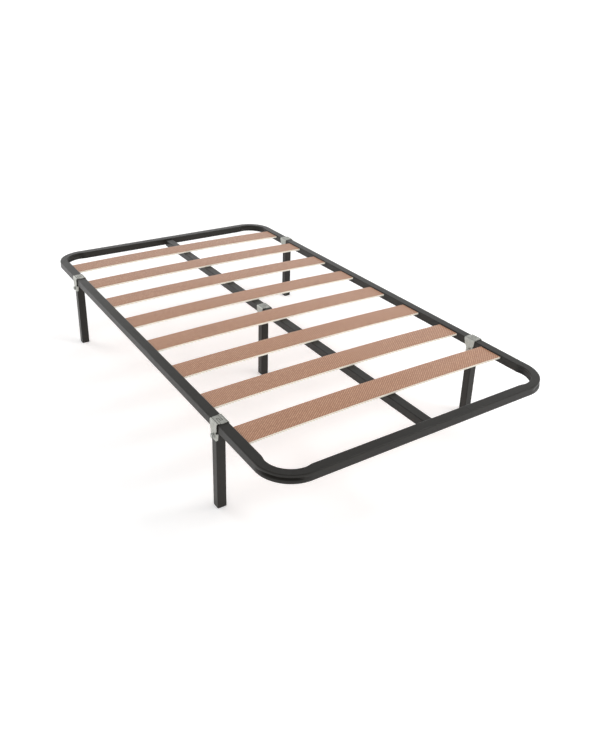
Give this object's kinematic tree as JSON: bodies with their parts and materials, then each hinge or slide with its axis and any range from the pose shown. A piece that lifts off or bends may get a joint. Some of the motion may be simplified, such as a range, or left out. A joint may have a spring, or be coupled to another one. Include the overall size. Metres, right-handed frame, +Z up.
{
  "type": "slatted metal bed base",
  "caption": "Low bed base: bent dark tube frame with rounded corners, bowed wide slats let into the side rails, a centre bar, and square legs held on by clamps.",
  "frame": {"origin": "on the floor, under the middle of the bed", "axes": "+X across the bed to the right, +Y from the foot end to the head end, +Z up"},
  "size_m": [1.074, 1.9003, 0.2994],
  "materials": {
    "powder_coat": "satin dark grey powder coat",
    "weld_bead": "weld bead under the same powder coat",
    "slat_board": "terracotta textured film on plywood with pale edges",
    "sleeve_plastic": "black plastic",
    "foot_plastic": "black plastic",
    "zinc_sheet": "zinc-plated pressed steel",
    "zinc_fastener": "zinc-plated bolt, washer and nut"
  },
  "bodies": {
    "frame": {"perimeter_tube": "powder_coat", "perimeter_weld": "weld_bead", "centre_bar": "powder_coat", "bar_weld_foot": "weld_bead", "bar_weld_head": "weld_bead", "slat_1": "slat_board", "slat_2": "slat_board", "slat_3": "slat_board", "slat_4": "slat_board", "slat_5": "slat_board", "slat_6": "slat_board", "slat_7": "slat_board", "slat_8": "slat_board", "slat_sleeves_1": "sleeve_plastic", "slat_sleeves_2": "sleeve_plastic", "slat_sleeves_3": "sleeve_plastic", "slat_sleeves_4": "sleeve_plastic", "slat_sleeves_5": "sleeve_plastic", "slat_sleeves_6": "sleeve_plastic", "slat_sleeves_7": "sleeve_plastic", "slat_sleeves_8": "sleeve_plastic"},
    "leg_foot_left": {"leg_tube_foot_left": "powder_coat", "foot_cap_foot_left": "foot_plastic", "inner_jaw_foot_left": "zinc_sheet", "clamp_nut_foot_left": "zinc_fastener"},
    "jaw_foot_left": {"outer_jaw_foot_left": "zinc_sheet"},
    "washer_foot_left": {"clamp_washer_foot_left": "zinc_fastener"},
    "bolt_foot_left": {"clamp_bolt_foot_left": "zinc_fastener"},
    "leg_foot_right": {"leg_tube_foot_right": "powder_coat", "foot_cap_foot_right": "foot_plastic", "inner_jaw_foot_right": "zinc_sheet", "clamp_nut_foot_right": "zinc_fastener"},
    "jaw_foot_right": {"outer_jaw_foot_right": "zinc_sheet"},
    "washer_foot_right": {"clamp_washer_foot_right": "zinc_fastener"},
    "bolt_foot_right": {"clamp_bolt_foot_right": "zinc_fastener"},
    "leg_centre": {"leg_tube_centre": "powder_coat", "foot_cap_centre": "foot_plastic", "inner_jaw_centre": "zinc_sheet", "clamp_nut_centre": "zinc_fastener"},
    "jaw_centre": {"outer_jaw_centre": "zinc_sheet"},
    "washer_centre": {"clamp_washer_centre": "zinc_fastener"},
    "bolt_centre": {"clamp_bolt_centre": "zinc_fastener"},
    "leg_head_left": {"leg_tube_head_left": "powder_coat", "foot_cap_head_left": "foot_plastic", "inner_jaw_head_left": "zinc_sheet", "clamp_nut_head_left": "zinc_fastener"},
    "jaw_head_left": {"outer_jaw_head_left": "zinc_sheet"},
    "washer_head_left": {"clamp_washer_head_left": "zinc_fastener"},
    "bolt_head_left": {"clamp_bolt_head_left": "zinc_fastener"},
    "leg_head_right": {"leg_tube_head_right": "powder_coat", "foot_cap_head_right": "foot_plastic", "inner_jaw_head_right": "zinc_sheet", "clamp_nut_head_right": "zinc_fastener"},
    "jaw_head_right": {"outer_jaw_head_right": "zinc_sheet"},
    "washer_head_right": {"clamp_washer_head_right": "zinc_fastener"},
    "bolt_head_right": {"clamp_bolt_head_right": "zinc_fastener"}
  },
  "joints": [
    {"name": "slide_foot_left", "type": "slide", "parent": "frame", "child": "leg_foot_left", "axis": [0, 1, 0], "range_m": [-0.02, 0.048]},
    {"name": "backout_foot_left", "type": "slide", "parent": "leg_foot_left", "child": "washer_foot_left", "axis": [-1, 0, 0], "range_m": [0, 0.0025]},
    {"name": "bolt_turn_foot_left", "type": "hinge", "parent": "washer_foot_left", "child": "bolt_foot_left", "pos_m": [-0.531, -0.613, 0.252], "axis": [-1, 0, 0], "range_deg": [0, 721]},
    {"name": "jaw_open_foot_left", "type": "hinge", "parent": "leg_foot_left", "child": "jaw_foot_left", "pos_m": [-0.5025, -0.613, 0.2984], "axis": [0, 1, 0], "range_deg": [0, 2.01]},
    {"name": "slide_foot_right", "type": "slide", "parent": "frame", "child": "leg_foot_right", "axis": [0, 1, 0], "range_m": [-0.029, 0.039]},
    {"name": "backout_foot_right", "type": "slide", "parent": "leg_foot_right", "child": "washer_foot_right", "axis": [1, 0, 0], "range_m": [0, 0.0025]},
    {"name": "bolt_turn_foot_right", "type": "hinge", "parent": "washer_foot_right", "child": "bolt_foot_right", "pos_m": [0.531, -0.604, 0.252], "axis": [1, 0, 0], "range_deg": [0, 721]},
    {"name": "jaw_open_foot_right", "type": "hinge", "parent": "leg_foot_right", "child": "jaw_foot_right", "pos_m": [0.5025, -0.604, 0.2984], "axis": [0, -1, 0], "range_deg": [0, 2.01]},
    {"name": "slide_centre", "type": "slide", "parent": "frame", "child": "leg_centre", "axis": [0, 1, 0], "range_m": [-0.025, 0.043]},
    {"name": "backout_centre", "type": "slide", "parent": "leg_centre", "child": "washer_centre", "axis": [-1, 0, 0], "range_m": [0, 0.0025]},
    {"name": "bolt_turn_centre", "type": "hinge", "parent": "washer_centre", "child": "bolt_centre", "pos_m": [-0.011, 0.016, 0.2465], "axis": [-1, 0, 0], "range_deg": [0, 721]},
    {"name": "jaw_open_centre", "type": "hinge", "parent": "leg_centre", "child": "jaw_centre", "pos_m": [0.0175, 0.016, 0.2929], "axis": [0, 1, 0], "range_deg": [0, 2.01]},
    {"name": "slide_head_left", "type": "slide", "parent": "frame", "child": "leg_head_left", "axis": [0, 1, 0], "range_m": [-0.026, 0.042]},
    {"name": "backout_head_left", "type": "slide", "parent": "leg_head_left", "child": "washer_head_left", "axis": [-1, 0, 0], "range_m": [0, 0.0025]},
    {"name": "bolt_turn_head_left", "type": "hinge", "parent": "washer_head_left", "child": "bolt_head_left", "pos_m": [-0.531, 0.641, 0.252], "axis": [-1, 0, 0], "range_deg": [0, 721]},
    {"name": "jaw_open_head_left", "type": "hinge", "parent": "leg_head_left", "child": "jaw_head_left", "pos_m": [-0.5025, 0.641, 0.2984], "axis": [0, 1, 0], "range_deg": [0, 2.01]},
    {"name": "slide_head_right", "type": "slide", "parent": "frame", "child": "leg_head_right", "axis": [0, 1, 0], "range_m": [-0.03, 0.038]},
    {"name": "backout_head_right", "type": "slide", "parent": "leg_head_right", "child": "washer_head_right", "axis": [1, 0, 0], "range_m": [0, 0.0025]},
    {"name": "bolt_turn_head_right", "type": "hinge", "parent": "washer_head_right", "child": "bolt_head_right", "pos_m": [0.531, 0.645, 0.252], "axis": [1, 0, 0], "range_deg": [0, 721]},
    {"name": "jaw_open_head_right", "type": "hinge", "parent": "leg_head_right", "child": "jaw_head_right", "pos_m": [0.5025, 0.645, 0.2984], "axis": [0, -1, 0], "range_deg": [0, 2.01]}
  ],
  "couplings": [
    {"joint": "bolt_turn_foot_left", "follows": "backout_foot_left", "rad_per_m": 5026.5},
    {"joint": "jaw_open_foot_left", "follows": "backout_foot_left", "rad_per_m": 13.963},
    {"joint": "bolt_turn_foot_right", "follows": "backout_foot_right", "rad_per_m": 5026.5},
    {"joint": "jaw_open_foot_right", "follows": "backout_foot_right", "rad_per_m": 13.963},
    {"joint": "bolt_turn_centre", "follows": "backout_centre", "rad_per_m": 5026.5},
    {"joint": "jaw_open_centre", "follows": "backout_centre", "rad_per_m": 13.963},
    {"joint": "bolt_turn_head_left", "follows": "backout_head_left", "rad_per_m": 5026.5},
    {"joint": "jaw_open_head_left", "follows": "backout_head_left", "rad_per_m": 13.963},
    {"joint": "bolt_turn_head_right", "follows": "backout_head_right", "rad_per_m": 5026.5},
    {"joint": "jaw_open_head_right", "follows": "backout_head_right", "rad_per_m": 13.963}
  ]
}
